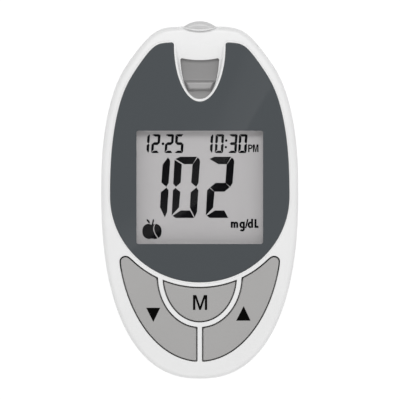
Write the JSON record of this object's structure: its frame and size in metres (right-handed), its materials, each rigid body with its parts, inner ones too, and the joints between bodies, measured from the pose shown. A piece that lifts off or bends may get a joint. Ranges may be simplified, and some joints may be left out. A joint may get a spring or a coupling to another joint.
{
  "type": "blood glucose meter",
  "caption": "Hand-held blood glucose meter: egg-shaped two-part case, dark display lens, crescent arrow keys round a memory key, strip port with sliding ejector, battery door.",
  "frame": {"origin": "under the middle of the meter's whole length, on the plane of its flat back", "axes": "+Z out of the display, +Y towards the strip port, +X to the right as the display is read"},
  "size_m": [0.055, 0.0996, 0.0204],
  "materials": {
    "white_abs": "moulded white ABS, fine satin",
    "lens_acrylic": "printed acrylic, gloss",
    "tape": "black adhesive tape",
    "lcd_glass": "liquid crystal glass, polariser",
    "reflector_film": "grey reflector film",
    "holder_plastic": "moulded",
    "zebra_rubber": "silicone rubber with conducting layers",
    "board_laminate": "green solder mask",
    "chip_resin": "moulded epoxy",
    "component_ceramic": "fired ceramic chips",
    "black_plastic": "moulded",
    "gold_contact": "gold-plated spring strip",
    "lip_plastic": "moulded light grey ABS",
    "key_plastic": "moulded mid grey, satin",
    "slider_plastic": "moulded dark grey, satin",
    "spring_steel": "nickel-plated spring steel",
    "cell_jacket": "plain coloured film sleeve",
    "screw_steel": "zinc-plated steel"
  },
  "bodies": {
    "housing": {"rear_case": "white_abs", "front_case": "white_abs", "display_lens": "lens_acrylic", "lens_adhesive": "tape", "lcd_front_glass": "lcd_glass", "lcd_rear_glass": "lcd_glass", "lcd_reflector": "reflector_film", "lcd_holder": "holder_plastic", "zebra_connector": "zebra_rubber", "circuit_board": "board_laminate", "microcontroller": "chip_resin", "board_components": "component_ceramic", "buzzer": "black_plastic", "switch_bodies": "black_plastic", "strip_connector": "black_plastic", "strip_contacts": "gold_contact", "port_lip": "lip_plastic", "ejector_spring": "spring_steel", "battery_left": "cell_jacket", "battery_right": "cell_jacket", "bridge_contact": "spring_steel", "spring_terminal": "spring_steel", "plate_terminal": "spring_steel", "case_screws": "screw_steel", "board_screws": "screw_steel"},
    "key_down_body": {"key_down": "key_plastic", "plunger_down": "black_plastic"},
    "key_memory_body": {"key_memory": "key_plastic", "plunger_memory": "black_plastic"},
    "key_up_body": {"key_up": "key_plastic", "plunger_up": "black_plastic"},
    "ejector": {"ejector_slider": "slider_plastic", "ejector_arm": "slider_plastic"},
    "door": {"battery_door": "white_abs"}
  },
  "joints": [
    {"name": "key_down_press", "type": "slide", "parent": "housing", "child": "key_down_body", "axis": [0, 0, -1], "range_m": [0, 0.0005], "stiffness_N_per_m": 800, "springref_m": -0.0002},
    {"name": "key_memory_press", "type": "slide", "parent": "housing", "child": "key_memory_body", "axis": [0, 0, -1], "range_m": [0, 0.0005], "stiffness_N_per_m": 800, "springref_m": -0.0002},
    {"name": "key_up_press", "type": "slide", "parent": "housing", "child": "key_up_body", "axis": [0, 0, -1], "range_m": [0, 0.0005], "stiffness_N_per_m": 800, "springref_m": -0.0002},
    {"name": "eject_slide", "type": "slide", "parent": "housing", "child": "ejector", "axis": [0, 1, 0], "range_m": [0, 0.0042], "stiffness_N_per_m": 150, "springref_m": -0.001, "deforming": ["ejector_spring"]},
    {"name": "battery_door_slide", "type": "slide", "parent": "housing", "child": "door", "axis": [0, -1, 0], "range_m": [0, 0.055]}
  ]
}
